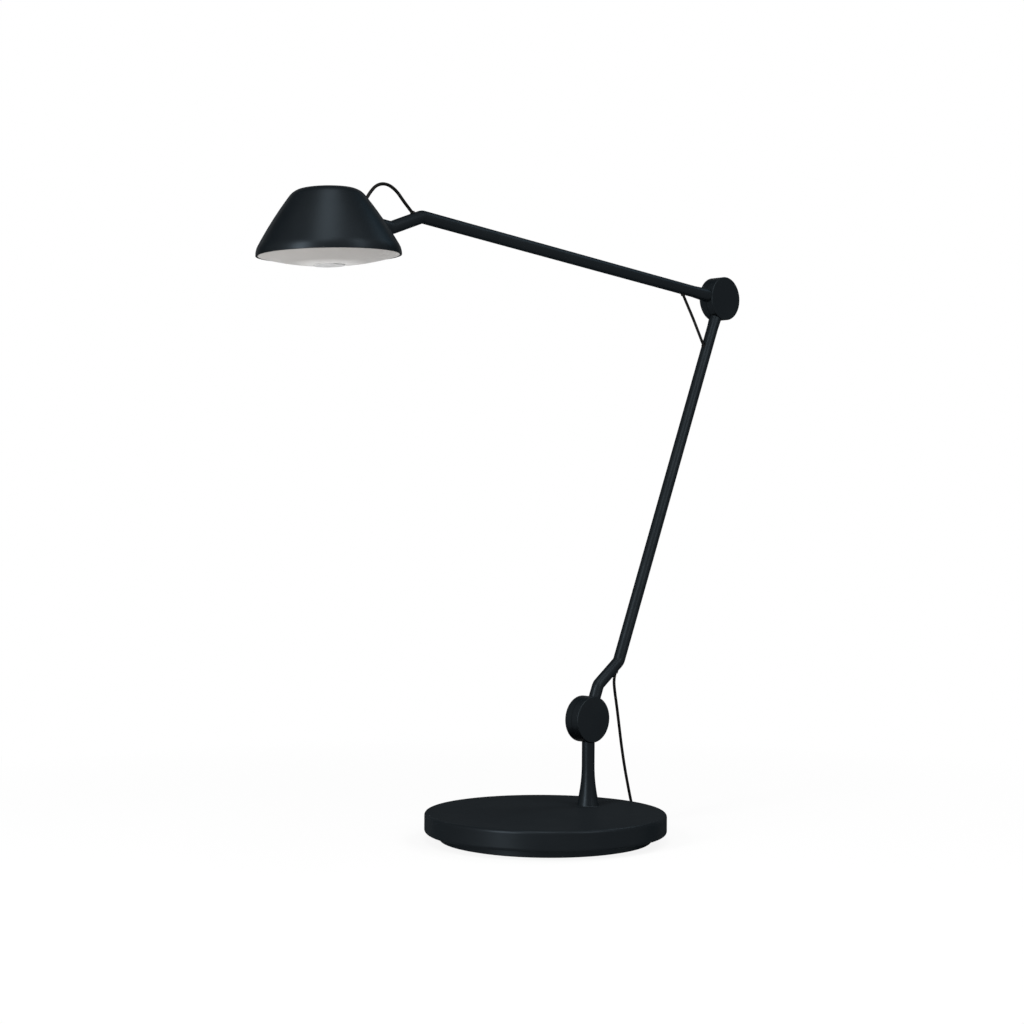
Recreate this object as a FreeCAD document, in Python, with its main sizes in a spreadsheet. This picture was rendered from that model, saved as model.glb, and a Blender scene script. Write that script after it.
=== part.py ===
# Desk lamp: a round weighted base, a short post, two arms that turn on friction
# discs, and a small dome head that tilts. Lengths are in millimetres, angles in degrees.
# The origin is on the table under the middle of the base, +Z is up, and the head
# reaches towards -X. Post, tubes and head stand in the plane Y = 0.
import FreeCAD, Part
import Sketcher
import math
import os
import re
from FreeCAD import Placement, Rotation, Vector

os.makedirs("parts", exist_ok=True)
doc = FreeCAD.newDocument("desk_lamp")

# Driving dimensions
SIZES = {
    # weighted base
    "base_radius": 105.0,
    "base_height": 24.7,
    "base_edge": 2.8,
    "foot_radius": 91.8,
    "foot_height": 7.2,
    "foot_edge": 0.6,
    "pad_thickness": 0.8,
    "pad_margin": 4.0,
    # screws that hold the foot plate
    "plate_screw_circle": 70.0,
    "plate_screw_radius": 2.0,
    "plate_screw_head": 3.9,
    "plate_screw_sink": 2.2,
    "plate_screw_length": 14.0,
    "plate_screw_count": 4,
    # post
    "post_place": 53.05,
    "post_radius": 5.7,
    "post_foot_radius": 10.3,
    "post_flare_top": 61.1,
    "post_flare_radius": 144.0,
    # bolt that holds the post
    "post_bolt_radius": 3.0,
    "post_bolt_head": 5.5,
    "post_bolt_head_height": 5.0,
    "post_bolt_grip": 14.0,
    "post_washer_radius": 10.0,
    "post_washer_thickness": 1.6,
    "post_recess_play": 1.0,
    "post_recess_depth": 9.0,
    # friction discs
    "lower_joint_height": 101.3,
    "disc_radius": 20.4,
    "disc_thickness": 16.1,
    "disc_shift": 1.3,
    "disc_edge": 0.9,
    "disc_seam": 0.3,
    "neck_play": 0.3,
    "pivot_radius": 3.0,
    "pivot_grip": 5.5,
    "pivot_head_radius": 5.0,
    "pivot_head_height": 2.0,
    "friction_radius": 15.0,
    "friction_sink": 0.5,
    "friction_play": 0.15,
    "spring_radius": 6.0,
    "spring_thickness": 0.6,
    "spring_count": 2,
    "hardware_recess": 7.0,
    "web_thickness": 2.85,
    "cap_radius": 17.5,
    "cap_thickness": 1.5,
    "cap_play": 0.1,
    # tubes of both arms
    "tube_radius": 5.34,
    "tube_wall": 1.2,
    "spigot_length": 10.0,
    "spigot_play": 0.05,
    "bend_radius": 8.0,
    # lower arm
    "lower_lean": 22.385,
    "lower_reach": 426.2,
    "lower_offset": 17.0,
    "lower_bend_start": 32.2,
    "lower_bend_end": 60.5,
    "lower_seam": 72.0,
    "lower_neck_radius": 6.0,
    "lower_neck_length": 30.0,
    # upper arm
    "upper_rise": 5.27,
    "upper_stub": 34.7,
    "upper_crank": 31.3,
    "upper_seam_gap": 14.0,
    "upper_offset": 15.6,
    "upper_neck_radius": 6.6,
    "upper_neck_length": 40.0,
    "upper_reach": 446.0,
    # head hinge
    "hinge_eye_radius": 6.0,
    "hinge_eye_width": 7.0,
    "hinge_stub_start": 7.5,
    "hinge_pin_radius": 2.0,
    "hinge_pin_head": 3.6,
    "hinge_pin_head_height": 1.8,
    "hinge_washer_radius": 5.0,
    "hinge_washer_thickness": 0.5,
    "hinge_cheek_width": 2.5,
    "hinge_cheek_length": 11.0,
    "hinge_cheek_front": 1.0,
    "hinge_tongue_height": 8.0,
    "pin_play": 0.15,
    # head shell
    "head_tilt": -2.48,
    "head_tilt_down": 15.0,
    "head_tilt_up": 25.0,
    "head_hinge_back": 29.95,
    "head_hinge_height": 30.6,
    "shade_radius": 57.0,
    "shade_rim_height": 4.4,
    "shade_top_radius": 25.2,
    "shade_height": 52.0,
    "shade_flank_radius": 320.0,
    "shade_top_edge": 15.0,
    "shade_rim_edge": 15.0,
    "shade_wall": 1.4,
    "slot_play": 0.6,
    # lamp inside the head
    "head_plate_height": 4.2,
    "head_plate_thickness": 3.0,
    "head_plate_radius": 53.0,
    "stud_radius": 6.0,
    "stud_screw_radius": 2.0,
    "stud_screw_head": 3.8,
    "stud_screw_head_height": 1.8,
    "stud_screw_length": 10.0,
    "clevis_base_thickness": 2.0,
    "clevis_base_length": 15.0,
    "clevis_base_width": 26.0,
    "clevis_screw_spread": 10.0,
    "clevis_screw_radius": 1.5,
    "clevis_screw_head": 2.6,
    "clevis_screw_head_height": 1.8,
    "board_radius": 46.0,
    "board_thickness": 1.6,
    "light_circle": 33.0,
    "light_width": 3.5,
    "light_height": 0.8,
    "light_count": 24,
    "switch_width": 6.2,
    "switch_height": 3.5,
    "diffuser_radius": 55.2,
    "diffuser_drop": 7.5,
    "diffuser_wall": 1.6,
    "diffuser_skirt": 1.4,
    "button_radius": 12.3,
    "button_play": 0.3,
    "button_stand": 0.5,
    "button_face": 2.8,
    "button_rest": 0.1,
    "button_lip": 1.3,
    "button_lip_height": 1.0,
    "button_stem": 2.0,
    "button_travel": 0.8,
    "terminal_place": 13.5,
    "terminal_length": 6.0,
    "terminal_width": 9.0,
    "terminal_height": 6.0,
    # places where the cord passes through metal
    "elbow_gate_lower": 51.6,
    "elbow_gate_upper": 54.1,
    "loop_gate_turn": 35.0,
    "loop_gate_bend": 8.5,
    "head_gate_radius": 33.0,
    "head_gate_height": 41.9,
    "head_gate_slope": 36.5,
    # cord and its rubber bushes
    "cord_radius": 1.35,
    "cord_play": 0.25,
    "bush_radius": 2.1,
    "bush_stand": 0.6,
    "bush_depth": 2.5,
    "loop_bush_depth": 0.7,
    "head_cord_lead": 5.4,
    "elbow_slack": 0.6,
    # straight starts of the free stretches
    "elbow_lead": 6.0,
    "loop_lead": 11.5,
    "head_lead": 6.1,
    "table_lead": 5.8,
    "driver_lead": 11.0,
    # coil of the spare cord
    "coil_x": 122.9,
    "coil_y": 54.6,
    "coil_outer": 23.1,
    "coil_layers": 4,
    "coil_turns": 3.907,
    "coil_pitch": 3.65,
    "coil_lift": 1.4,
    # plug-in driver on the cord
    "driver_length": 46.0,
    "driver_width": 33.0,
    "driver_height": 14.5,
    "driver_edge": 2.5,
    "driver_split": 8.0,
    "driver_wall": 1.6,
    "driver_board_thickness": 1.6,
    "driver_x": 92.2,
    "driver_y": 101.4,
    "driver_turn": 136.0,
    "pin_spacing": 19.0,
    "pin_radius": 2.0,
    "pin_length": 18.5,
    "relief_length": 14.0,
    "relief_radius": 3.2,
}

sizes = doc.addObject("Spreadsheet::Sheet", "sizes")
for row, (alias, number) in enumerate(SIZES.items(), start=1):
    sizes.set("A%d" % row, alias)
    sizes.set("B%d" % row, str(number))
    sizes.setAlias("B%d" % row, alias)
doc.recompute()


class Size:
    """Reads a driving dimension from the sheet as a number."""

    def __getattr__(self, alias):
        return float(getattr(sizes, alias))


size = Size()
parts = []


def expression(text):
    """Writes the name of every driving dimension in a formula as a cell of the sheet."""
    return re.sub("[a-z_]+", lambda word: "sizes." + word[0] if word[0] in SIZES else word[0], text)


def value(text):
    return float(sizes_reader.evalExpression(expression(text)))


# An empty object that works out formulas, because the sheet itself can't
sizes_reader = doc.addObject("App::FeaturePython", "formulas")


def bind(obj, **formulas):
    for name, formula in formulas.items():
        obj.setExpression(name, expression(formula))
    return obj


def place(obj, x="0", y="0", z="0", turn=None, axis=Vector(0, 1, 0)):
    """Puts an object at a place given by formulas, turned about an axis."""
    angle = 0 if turn is None else value(turn)
    obj.Placement = Placement(Vector(value(x), value(y), value(z)), Rotation(axis, angle))
    for name, formula in (("x", x), ("y", y), ("z", z)):
        obj.setExpression("Placement.Base." + name, expression(formula))
    if turn is not None:
        obj.setExpression("Placement.Rotation.Angle", expression(turn))
    return obj


def rod(name, radius, height, x="0", y="0", z="0", along="Z"):
    """A round rod that starts at a place and runs along +Z, +Y or +X."""
    obj = bind(doc.addObject("Part::Cylinder", name), Radius=radius, Height=height)
    ways = {"Z": (Vector(0, 0, 1), "0"), "Y": (Vector(-1, 0, 0), "90"), "X": (Vector(0, 1, 0), "90")}
    axis, turn = ways[along]
    return place(obj, x, y, z, turn, axis)


def cone(name, radius, end_radius, height, x="0", y="0", z="0"):
    obj = bind(doc.addObject("Part::Cone", name), Radius1=radius, Radius2=end_radius, Height=height)
    return place(obj, x, y, z)


def block(name, length, width, height, x="0", y="0", z="0"):
    """A box that is centred on its place in X and Y and stands on it."""
    obj = bind(doc.addObject("Part::Box", name), Length=length, Width=width, Height=height)
    return place(obj, "%s - (%s) / 2" % (x, length), "%s - (%s) / 2" % (y, width), z)


def fuse(name, *shapes):
    obj = doc.addObject("Part::MultiFuse", name)
    obj.Shapes = list(shapes)
    return obj


def cut(name, base, *tools):
    obj = doc.addObject("Part::Cut", name)
    obj.Base = base
    obj.Tool = tools[0] if len(tools) == 1 else fuse(name + "_tools", *tools)
    return obj


def group(name, *shapes):
    """Separate solids that are one kind of piece."""
    obj = doc.addObject("Part::Compound", name)
    obj.Links = list(shapes)
    return obj


def ring(name, radius, bore, height, x="0", y="0", z="0", along="Z"):
    outer = rod(name + "_outer", radius, height, x, y, z, along)
    inner = rod(name + "_bore", bore, height, x, y, z, along)
    return cut(name, outer, inner)


def solid(name, shape):
    """A shape that is worked out from the sheet and that no feature makes."""
    obj = doc.addObject("Part::Feature", name)
    obj.Shape = shape
    return obj


def keep(obj, label):
    """Marks an object as a finished sub-part, which is written under its label."""
    obj.Label = label
    parts.append(obj)
    return obj


def plane_of(body, role):
    return [item for item in body.Origin.OriginFeatures if item.Role == role][0]


def outline(body, name, corners, arcs=()):
    """A closed sketch in the body's XZ plane: corners are pairs of formulas, and an arc
    (corner, radius, side) bends the line that leaves that corner to its left (1) or right (-1)."""
    sketch = body.newObject("Sketcher::SketchObject", name)
    sketch.AttachmentSupport = [(plane_of(body, "XZ_Plane"), "")]
    sketch.MapMode = "FlatFace"
    bent = {corner: (radius, side) for corner, radius, side in arcs}
    points = [Vector(value(x), value(y), 0) for x, y in corners]
    ends = []
    for i, start in enumerate(points):
        end = points[(i + 1) % len(points)]
        if i in bent:
            radius, side = bent[i]
            middle = arc_middle(start, end, value(radius), side)
            edge = sketch.addGeometry(Part.ArcOfCircle(start, middle, end))
            near = (sketch.getPoint(edge, 1) - start).Length < (sketch.getPoint(edge, 2) - start).Length
            ends.append((edge, 1, 2) if near else (edge, 2, 1))
            number = sketch.addConstraint(Sketcher.Constraint("Radius", edge, value(radius)))
            sketch.setExpression("Constraints[%d]" % number, expression(radius))
        else:
            edge = sketch.addGeometry(Part.LineSegment(start, end))
            ends.append((edge, 1, 2))
    for i, (x, y) in enumerate(corners):
        edge, first, _ = ends[i]
        before, _, last = ends[i - 1]
        sketch.addConstraint(Sketcher.Constraint("Coincident", before, last, edge, first))
        for kind, formula in (("DistanceX", x), ("DistanceY", y)):
            number = sketch.addConstraint(Sketcher.Constraint(kind, -1, 1, edge, first, value(formula)))
            sketch.setExpression("Constraints[%d]" % number, expression(formula))
    return sketch


def arc_middle(start, end, radius, side):
    chord = end - start
    rise = radius - math.sqrt(radius ** 2 - (chord.Length / 2) ** 2)
    across = Vector(-chord.y, chord.x, 0).normalize()
    return (start + end) / 2 + across * rise * side


def turned(name, corners, arcs=()):
    """A body that is turned about the Z axis from an outline in the XZ plane."""
    body = doc.addObject("PartDesign::Body", name)
    sketch = outline(body, name + "_outline", corners, arcs)
    spin = body.newObject("PartDesign::Revolution", name + "_turned")
    spin.Profile = sketch
    spin.ReferenceAxis = (sketch, ["V_Axis"])
    spin.Angle = 360
    doc.recompute()
    return body


def round_edges(body, name, radius, wanted):
    """Rounds the edges of the body's tip that wanted(edge) picks."""
    tip = body.Tip
    names = ["Edge%d" % (i + 1) for i, edge in enumerate(tip.Shape.Edges) if wanted(edge)]
    fillet = body.newObject("PartDesign::Fillet", name)
    fillet.Base = (tip, names)
    bind(fillet, Radius=radius)
    doc.recompute()
    return fillet


def circle_at(radius, height):
    """Picks the round edge about the Z axis with this radius at this height."""

    def wanted(edge):
        curve = edge.Curve
        if not isinstance(curve, Part.Circle):
            return False
        return abs(curve.Radius - value(radius)) < 0.01 and abs(curve.Center.z - value(height)) < 0.01

    return wanted


# Places that several pieces share, as formulas of the driving dimensions
FRONT = "disc_shift - disc_thickness / 2"
REAR = "disc_shift + disc_thickness / 2"
FRONT_SEAM = "disc_shift - disc_seam / 2"
REAR_SEAM = "disc_shift + disc_seam / 2"
ELBOW_X = "post_place + lower_offset * cos(lower_lean) + lower_reach * sin(lower_lean)"
ELBOW_Z = "lower_joint_height - lower_offset * sin(lower_lean) + lower_reach * cos(lower_lean)"
HINGE_X = ELBOW_X + " - upper_reach * cos(upper_rise) - upper_offset * sin(upper_rise)"
HINGE_Z = ELBOW_Z + " + upper_reach * sin(upper_rise) - upper_offset * cos(upper_rise)"
HEAD_X = HINGE_X + " - head_hinge_back * cos(head_tilt) - head_hinge_height * sin(head_tilt)"
HEAD_Z = HINGE_Z + " + head_hinge_back * sin(head_tilt) - head_hinge_height * cos(head_tilt)"
PLATE_TOP = "head_plate_height + head_plate_thickness"
UPPER_BEND = "upper_reach - upper_stub - upper_crank"
UPPER_SEAM = UPPER_BEND + " - upper_seam_gap"

# Each arm and the head are built in frames of their own: the lower arm stands on its
# disc with +Z along the tube, the upper arm starts at the elbow with +Z towards the
# head and +X up, and the head has +Z up and its rim in the plane Z = 0.
FRAMES = {
    "base": ("0", "0", "0"),
    "lower_arm": ("post_place", "lower_joint_height", "lower_lean"),
    "upper_arm": (ELBOW_X, ELBOW_Z, "upper_rise - 90"),
    "head": (HEAD_X, HEAD_Z, "head_tilt"),
}


def settle(label, frame, *shapes):
    """Takes a finished piece from its frame to its place on the lamp."""
    x, z, turn = FRAMES[frame]
    piece = group(label, *shapes)
    return keep(place(piece, x, "0", z, turn), label)


def out_of(frame, x, z, y=0.0):
    """A point of a frame, in the lamp's own coordinates."""
    from_x, from_z, turn = (value(formula) for formula in FRAMES[frame])
    angle = math.radians(turn)
    across = x * math.cos(angle) + z * math.sin(angle)
    return Vector(from_x + across, y, from_z - x * math.sin(angle) + z * math.cos(angle))


def into(frame, point):
    """A point of the lamp, in a frame's coordinates."""
    from_x, from_z, turn = (value(formula) for formula in FRAMES[frame])
    angle = math.radians(turn)
    x, z = point.x - from_x, point.z - from_z
    across = x * math.cos(angle) - z * math.sin(angle)
    return Vector(across, point.y, x * math.sin(angle) + z * math.cos(angle))


# Tubes that follow a route of straight runs and tangent arcs
def arc_edge(start, corner, end):
    """The arc that leaves start towards the corner and reaches end from it."""
    chord_middle = (start + end) / 2
    to_corner = corner - chord_middle
    half_turn = math.atan2(to_corner.Length, (end - start).Length / 2)
    rise = (end - start).Length / 2 * math.tan(half_turn / 2)
    return Part.Arc(start, chord_middle + to_corner.normalize() * rise, end).toShape()


def route(points, radius=None):
    """Runs and arcs through the points, the smallest radius and the tightest turn. Without
    a radius, each arc is as large as its two runs allow."""
    edges, radii = [], []
    at = points[0]
    for before, corner, after in zip(points, points[1:], points[2:]):
        come, go = corner - before, after - corner
        half = come.getAngle(go) / 2
        bend = radius or 0.45 * min(come.Length, go.Length) / math.tan(half)
        reach = bend * math.tan(half)
        start = corner - come.normalize() * reach
        end = corner + go.normalize() * reach
        edges.append(Part.LineSegment(at, start).toShape())
        edges.append(arc_edge(start, corner, end))
        radii.append(bend)
        at = end
    edges.append(Part.LineSegment(at, points[-1]).toShape())
    return Part.Wire(edges), min(radii)


def swept(wire, radius):
    """A round tube along a wire."""
    start = wire.Edges[0]
    along = start.tangentAt(start.FirstParameter)
    circle = Part.Circle(start.valueAt(start.FirstParameter), along, radius)
    return wire.makePipeShell([Part.Wire(circle.toShape())], True, False)


def tube_shape(name, points, radius):
    """A tube along a route, with its facts printed."""
    wire, tightest = route(points)
    tube = swept(wire, radius)
    share = tube.Volume / (math.pi * radius ** 2 * wire.Length)
    facts = (name, wire.Length, tightest, share)
    print("%s: %.1f mm long, tightest radius %.1f mm, volume share %.4f" % facts)
    return tube


# Weighted base
def make_base():
    disc = turned("base_turning", [("0", "foot_height"), ("base_radius", "foot_height"),
                                   ("base_radius", "base_height"), ("0", "base_height")])
    round_edges(disc, "base_top_edge", "base_edge", circle_at("base_radius", "base_height"))
    round_edges(disc, "base_low_edge", "base_edge", circle_at("base_radius", "foot_height"))
    recess = rod("post_bolt_recess", "post_washer_radius + post_recess_play", "post_recess_depth",
                 "post_place", "0", "foot_height")
    through = rod("post_bolt_hole", "post_bolt_radius", "base_height", "post_place", "0", "foot_height")
    reach = "plate_screw_length - foot_height + pad_thickness"
    holes = [rod("plate_hole_%d" % i, "plate_screw_radius", reach, x, y, "foot_height")
             for i, (x, y) in enumerate(screw_places())]
    keep(cut("base_disc", disc, recess, through, *holes), "base_disc")

    plate = turned("plate_turning", [("0", "pad_thickness"), ("foot_radius", "pad_thickness"),
                                     ("foot_radius", "foot_height"), ("0", "foot_height")])
    round_edges(plate, "plate_edge", "foot_edge", circle_at("foot_radius", "pad_thickness"))
    sinks, screws = [], []
    for i, (x, y) in enumerate(screw_places()):
        head = ("plate_screw_head", "plate_screw_radius", "plate_screw_sink", x, y, "pad_thickness")
        shank = ("plate_screw_radius", "plate_screw_length", x, y, "pad_thickness")
        sinks += [cone("plate_sink_%d" % i, *head), rod("plate_way_%d" % i, *shank)]
        screws.append(fuse("plate_screw_%d" % i, cone("screw_head_%d" % i, *head),
                           rod("screw_shank_%d" % i, *shank)))
    keep(cut("foot_plate", plate, *sinks), "foot_plate")
    keep(group("foot_plate_screws", *screws), "foot_plate_screws")
    keep(rod("foot_pad", "foot_radius - pad_margin", "pad_thickness"), "foot_pad")


def screw_places():
    """The foot plate's screws stand evenly on a circle, clear of the post's bolt."""
    places = []
    for i in range(SIZES["plate_screw_count"]):
        angle = 360 * (i + 0.5) / SIZES["plate_screw_count"]
        places.append(("plate_screw_circle * cos(%g)" % angle, "plate_screw_circle * sin(%g)" % angle))
    return places


# Friction discs: a front half with a closed face and a threaded hole, and a rear half
# that holds the springs and the bolt's head under a cap
def front_half(name, x, z):
    recess = FRONT_SEAM + " - friction_sink"
    thread = FRONT_SEAM + " - pivot_grip"
    body = turned(name, [("0", FRONT), ("disc_radius", FRONT), ("disc_radius", FRONT_SEAM),
                         ("friction_radius", FRONT_SEAM), ("friction_radius", recess),
                         ("pivot_radius", recess), ("pivot_radius", thread), ("0", thread)])
    round_edges(body, name + "_edge", "disc_edge", circle_at("disc_radius", FRONT))
    return place(body, x, "0", z, "90", Vector(-1, 0, 0))


def rear_half(name, x, z):
    body = turned(name, [("pivot_radius + pin_play", REAR_SEAM + " + friction_sink"),
                         ("friction_radius", REAR_SEAM + " + friction_sink"), ("friction_radius", REAR_SEAM),
                         ("disc_radius", REAR_SEAM), ("disc_radius", REAR), ("cap_radius + cap_play", REAR),
                         ("cap_radius + cap_play", REAR + " - cap_thickness"),
                         ("hardware_recess", REAR + " - cap_thickness"),
                         ("hardware_recess", REAR_SEAM + " + web_thickness"),
                         ("pivot_radius + pin_play", REAR_SEAM + " + web_thickness")])
    round_edges(body, name + "_edge", "disc_edge", circle_at("disc_radius", REAR))
    return place(body, x, "0", z, "90", Vector(-1, 0, 0))


def swing_room(name, x, z, side):
    """The space of the other half disc, which a neck keeps clear of."""
    start = FRONT_SEAM if side > 0 else REAR_SEAM + " - disc_thickness"
    return rod(name, "disc_radius + neck_play", "disc_thickness", x, start, z, "Y")


def joint_hardware(name, front_frame, rear_frame, front_place, rear_place):
    """What clamps a friction disc: the bolt turns with the front half, the rest with the rear."""
    x, z = front_place
    head_place = REAR_SEAM + " + web_thickness + spring_count * spring_thickness"
    shank = rod(name + "_bolt_shank", "pivot_radius", "%s - (%s) + pivot_grip" % (head_place, FRONT_SEAM),
                x, FRONT_SEAM + " - pivot_grip", z, "Y")
    head = rod(name + "_bolt_head", "pivot_head_radius", "pivot_head_height", x, head_place, z, "Y")
    settle(name + "_pivot_bolt", front_frame, fuse(name + "_bolt", shank, head))
    x, z = rear_place
    settle(name + "_friction_washer", rear_frame,
           ring(name + "_friction", "friction_radius - friction_play", "pivot_radius + pin_play",
                "disc_seam + 2 * friction_sink", x, FRONT_SEAM + " - friction_sink", z, "Y"))
    springs = []
    for i in range(SIZES["spring_count"]):
        spring_place = "%s + web_thickness + %d * spring_thickness" % (REAR_SEAM, i)
        springs.append(ring("%s_spring_%d" % (name, i), "spring_radius", "pivot_radius + pin_play",
                            "spring_thickness", x, spring_place, z, "Y"))
    settle(name + "_spring_washers", rear_frame, *springs)
    settle(name + "_cap", rear_frame,
           rod(name + "_cap_disc", "cap_radius", "cap_thickness", x, REAR + " - cap_thickness", z, "Y"))


# Post with the rear half of the lower disc, and its bolt
def make_post():
    stem = turned("post_turning",
                  [("0", "base_height"), ("post_foot_radius", "base_height"),
                   ("post_radius", "post_flare_top"),
                   ("post_radius", "lower_joint_height - friction_radius - 1"),
                   ("0", "lower_joint_height - friction_radius - 1")],
                  [(1, "post_flare_radius", 1)])
    place(stem, "post_place", "0", "0")
    top = rear_half("post_disc", "post_place", "lower_joint_height")
    room = swing_room("post_swing_room", "post_place", "lower_joint_height", -1)
    thread = rod("post_thread", "post_bolt_radius", "post_bolt_grip", "post_place", "0", "base_height")
    keep(fuse("post", cut("post_stem", stem, room, thread), top), "post")

    washer_place = "foot_height + post_recess_depth - post_washer_thickness"
    keep(ring("post_washer", "post_washer_radius", "post_bolt_radius", "post_washer_thickness",
              "post_place", "0", washer_place), "post_washer")
    head = rod("post_bolt_hexagon", "post_bolt_head", "post_bolt_head_height", "post_place", "0",
               washer_place + " - post_bolt_head_height")
    shank = rod("post_bolt_shank", "post_bolt_radius",
                "base_height + post_bolt_grip - (%s)" % washer_place, "post_place", "0", washer_place)
    keep(fuse("post_bolt", head, shank), "post_bolt")


# Where the cord goes in and out of the arms and the head
def cord_gates():
    """Each place on a surface where the cord passes, with its way out of the metal."""
    tube = size.tube_radius
    gates = {}
    lower = out_of("lower_arm", size.lower_offset - tube, size.lower_reach - size.elbow_gate_lower)
    upper = out_of("upper_arm", -tube, size.elbow_gate_upper)
    across = (upper - lower).normalize()
    gates["elbow_low"] = (lower, across)
    gates["elbow_high"] = (upper, across * -1)
    slope = math.atan2(size.lower_offset, size.lower_bend_end - size.lower_bend_start)
    low_exit = out_of("lower_arm", size.lower_offset, size.lower_bend_end - tube / math.sin(slope))
    below_bend = out_of("lower_arm", size.lower_offset, size.lower_seam)
    gates["table"] = (low_exit, (low_exit - below_bend).normalize())
    slope = math.atan2(size.upper_offset, size.upper_crank)
    turn = math.radians(size.loop_gate_turn)
    reach = (tube - size.loop_gate_bend * math.sin(slope)) / math.sin(turn + slope)
    bend = value(UPPER_BEND) + size.loop_gate_bend
    start = out_of("upper_arm", 0, bend)
    along = out_of("upper_arm", math.sin(turn), bend + math.cos(turn)) - start
    gates["loop"] = (start + along * reach, along)
    wall = out_of("head", size.head_gate_radius, size.head_gate_height)
    steep = math.radians(size.head_gate_slope)
    ahead = out_of("head", size.head_gate_radius + math.cos(steep), size.head_gate_height + math.sin(steep))
    gates["head"] = (wall, ahead - wall)
    return gates


def gate_rod(frame, gate, radius, outside, inside):
    """A rod along the cord's way through a gate, in the frame of the piece that it goes through."""
    place_, outwards = gate
    start = into(frame, place_ - outwards * inside)
    end = into(frame, place_ + outwards * outside)
    return Part.makeCylinder(radius, inside + outside, start, end - start)


def bush(name, frame, gate, inside):
    """A rubber bush that lines a gate and stands a little proud of it."""
    outer = gate_rod(frame, gate, size.bush_radius, size.bush_stand, inside)
    bore = gate_rod(frame, gate, size.cord_radius, size.bush_stand, inside)
    return solid(name, outer.cut(bore))


def bent_tube(name, frame_points):
    """The cranked end of an arm: a solid bar through points of the arm's XZ plane."""
    points = [Vector(x, 0, z) for x, z in frame_points]
    wire, _ = route(points, size.bend_radius)
    return solid(name, swept(wire, size.tube_radius))


GATES = cord_gates()
NECK_START = "friction_radius + 1"


def seat(name, frame, gate, inside=None):
    """The hole for a gate's bush."""
    return solid(name, gate_rod(frame, gate, size.bush_radius, size.tube_radius, inside or size.bush_depth))


# Lower arm: cranked end with a front half disc, tube, and upper end with a rear half disc
def make_lower_arm():
    crank = bent_tube("lower_crank", [(0, value(NECK_START)), (0, size.lower_bend_start),
                                      (size.lower_offset, size.lower_bend_end),
                                      (size.lower_offset, size.lower_seam)])
    spigot = rod("lower_spigot", "tube_radius - tube_wall - spigot_play", "spigot_length",
                 "lower_offset", "0", "lower_seam")
    room = swing_room("lower_swing_room", "0", "0", 1)
    bore = rod("lower_bore", "cord_radius + cord_play", "lower_seam + spigot_length - lower_bend_start",
               "lower_offset", "0", "lower_bend_start")
    low = cut("lower_end_bored", fuse("lower_end_bar", crank, spigot), room, bore,
              seat("table_gate_seat", "lower_arm", GATES["table"]))
    settle("lower_arm_cranked_end", "lower_arm", fuse("lower_end", low, front_half("lower_disc", "0", "0")))

    top = "lower_reach - lower_neck_length"
    pipe = ring("lower_pipe", "tube_radius", "tube_radius - tube_wall", top + " - lower_seam",
                "lower_offset", "0", "lower_seam")
    hole = seat("elbow_low_seat", "lower_arm", GATES["elbow_low"], size.tube_radius / 2)
    settle("lower_arm_tube", "lower_arm", cut("lower_pipe_holed", pipe, hole))

    neck = cone("lower_neck", "tube_radius", "lower_neck_radius", "lower_neck_length - (%s)" % NECK_START,
                "lower_offset", "0", top)
    plug = rod("lower_top_spigot", "tube_radius - tube_wall - spigot_play", "spigot_length",
               "lower_offset", "0", top + " - spigot_length")
    room = swing_room("lower_top_room", "lower_offset", "lower_reach", -1)
    cap_room = rod("lower_top_cap_room", "disc_radius + neck_play", "disc_thickness",
                   "lower_offset", REAR, "lower_reach", "Y")
    upper_end = cut("lower_top_necked", fuse("lower_top_bar", neck, plug), room, cap_room)
    settle("lower_arm_elbow_end", "lower_arm",
           fuse("lower_top", upper_end, rear_half("lower_top_disc", "lower_offset", "lower_reach")))
    bushes = [bush("table_bush", "lower_arm", GATES["table"], size.bush_depth),
              bush("elbow_low_bush", "lower_arm", GATES["elbow_low"], size.tube_radius / 2)]
    settle("lower_arm_cord_bushes", "lower_arm", *bushes)


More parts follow.
